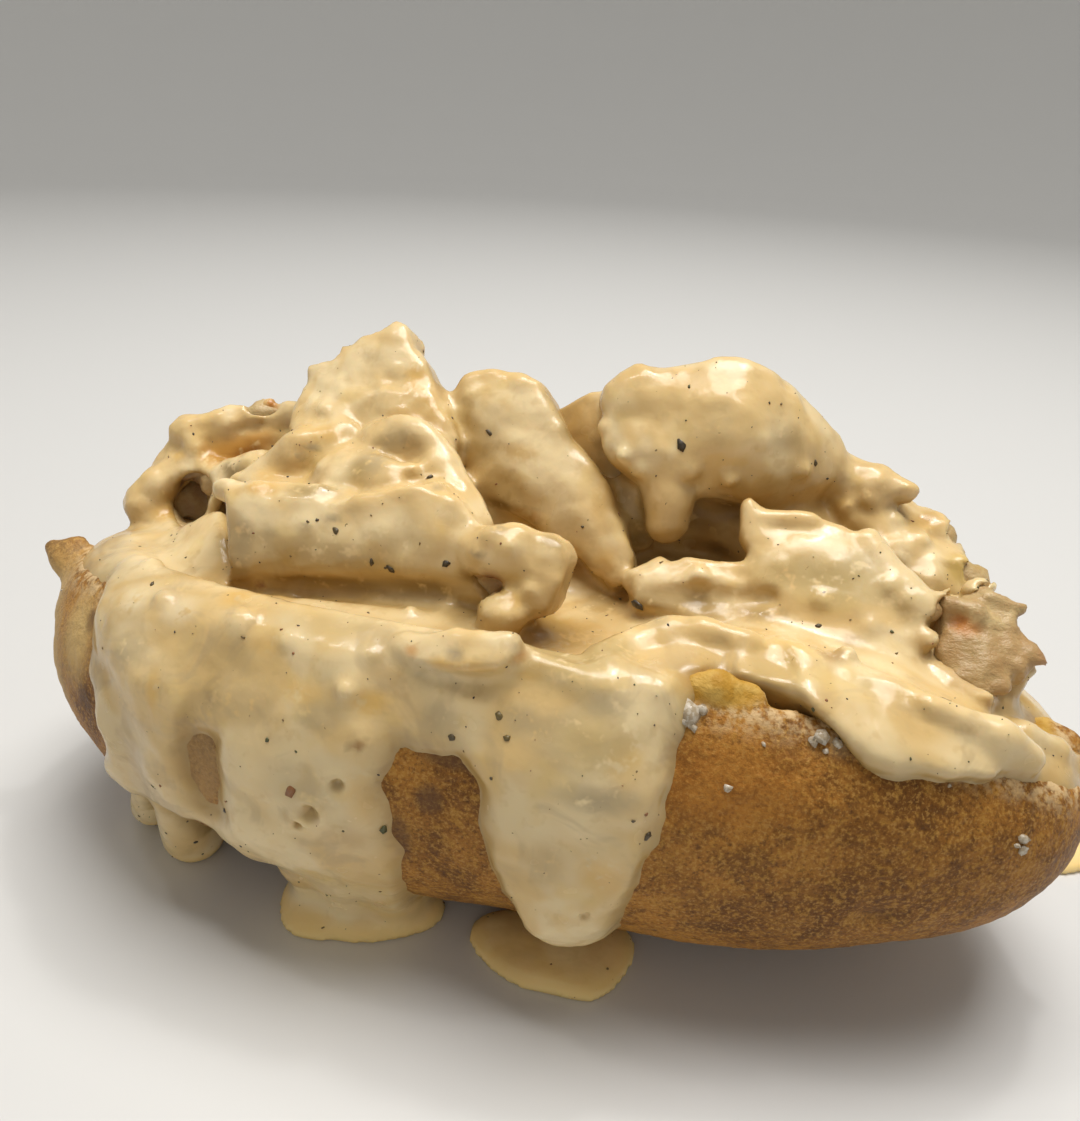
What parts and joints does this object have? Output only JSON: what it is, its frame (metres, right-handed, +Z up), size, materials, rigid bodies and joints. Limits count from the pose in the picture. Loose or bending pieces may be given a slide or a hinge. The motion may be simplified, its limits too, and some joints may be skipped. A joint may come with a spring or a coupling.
{
  "type": "baked potato",
  "caption": "Baked russet potato split along the top and heaped with chicken chunks in a peppered cream sauce that runs down the skin into flat puddles.",
  "frame": {"origin": "middle of the footprint of the whole object's box, on the surface that it rests on", "axes": "+X along the potato to its right-hand end, +Y to the back, +Z up"},
  "size_m": [0.1624, 0.087, 0.0699],
  "materials": {
    "skin": "mottled golden-brown baked potato skin, dull, with darker specks and paler scuffs; the opened flesh is dull yellow",
    "sauce": "thick glossy cream sauce, tan-cream, with black pepper and herb flecks",
    "chicken": "moist fibrous cooked chicken, pale tan with browned edges"
  },
  "bodies": {
    "root": {"potato": "skin", "sauce": "sauce", "chicken_a": "chicken", "chicken_b": "chicken", "chicken_c": "chicken", "chicken_d": "chicken", "chicken_d2": "chicken", "chicken_e": "chicken", "chicken_f": "chicken", "chicken_g": "chicken", "chicken_h": "chicken", "chicken_i": "chicken", "chicken_j": "chicken", "chicken_k": "chicken", "chicken_l": "chicken", "chicken_m": "chicken", "chicken_n": "chicken", "chicken_o": "chicken", "chicken_p": "chicken"}
  },
  "joints": []
}
